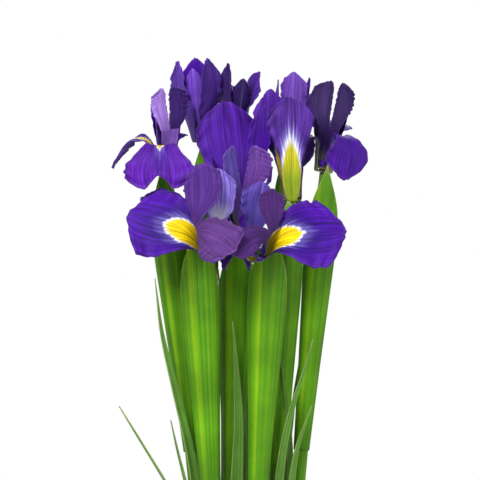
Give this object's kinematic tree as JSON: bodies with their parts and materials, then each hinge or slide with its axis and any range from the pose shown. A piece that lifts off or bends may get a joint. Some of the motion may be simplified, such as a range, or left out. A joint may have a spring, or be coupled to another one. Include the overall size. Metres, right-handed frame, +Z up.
{
  "type": "irises in a vase",
  "caption": "A bunch of cut blue-violet irises with yellow-marked falls, green spathes and narrow leaves, standing in a plain white cylindrical vase.",
  "frame": {"origin": "centre of the vase's flat underside", "axes": "+Z up along the vase's axis; -Y towards the front, the way the two nearest flowers face; +X to the right seen from the front"},
  "size_m": [0.1504, 0.1426, 0.471],
  "materials": {
    "glaze": "gloss",
    "petal": "satin",
    "standard": "satin",
    "style_arm": "satin",
    "spathe": "satin",
    "stem": "satin",
    "leaf": "satin"
  },
  "bodies": {
    "root": {"falls_1": "petal", "falls_2": "petal", "falls_3": "petal", "falls_4": "petal", "falls_5": "petal", "falls_6": "petal", "falls_7": "petal", "falls_8": "petal", "falls_9": "petal", "leaf_back_left": "leaf", "leaf_back_low": "leaf", "leaf_back_right": "leaf", "leaf_centre": "leaf", "leaf_left_far": "leaf", "leaf_left_long": "leaf", "leaf_left_short": "leaf", "leaf_right_back": "leaf", "leaf_right_inner": "leaf", "leaf_right_short": "leaf", "leaf_right_tall": "leaf", "spathe_1": "spathe", "spathe_2": "spathe", "spathe_3": "spathe", "spathe_4": "spathe", "spathe_5": "spathe", "spathe_6": "spathe", "spathe_7": "spathe", "spathe_8": "spathe", "spathe_9": "spathe", "standards_1": "standard", "standards_2": "standard", "standards_3": "standard", "standards_4": "standard", "standards_5": "standard", "standards_6": "standard", "standards_7": "standard", "standards_8": "standard", "standards_9": "standard", "stem_1": "stem", "stem_2": "stem", "stem_3": "stem", "stem_4": "stem", "stem_5": "stem", "stem_6": "stem", "stem_7": "stem", "stem_8": "stem", "stem_9": "stem", "style_arms_1": "style_arm", "style_arms_2": "style_arm", "style_arms_3": "style_arm", "style_arms_4": "style_arm", "style_arms_5": "style_arm", "style_arms_6": "style_arm", "style_arms_7": "style_arm", "style_arms_8": "style_arm", "style_arms_9": "style_arm", "vase": "glaze"}
  },
  "joints": []
}
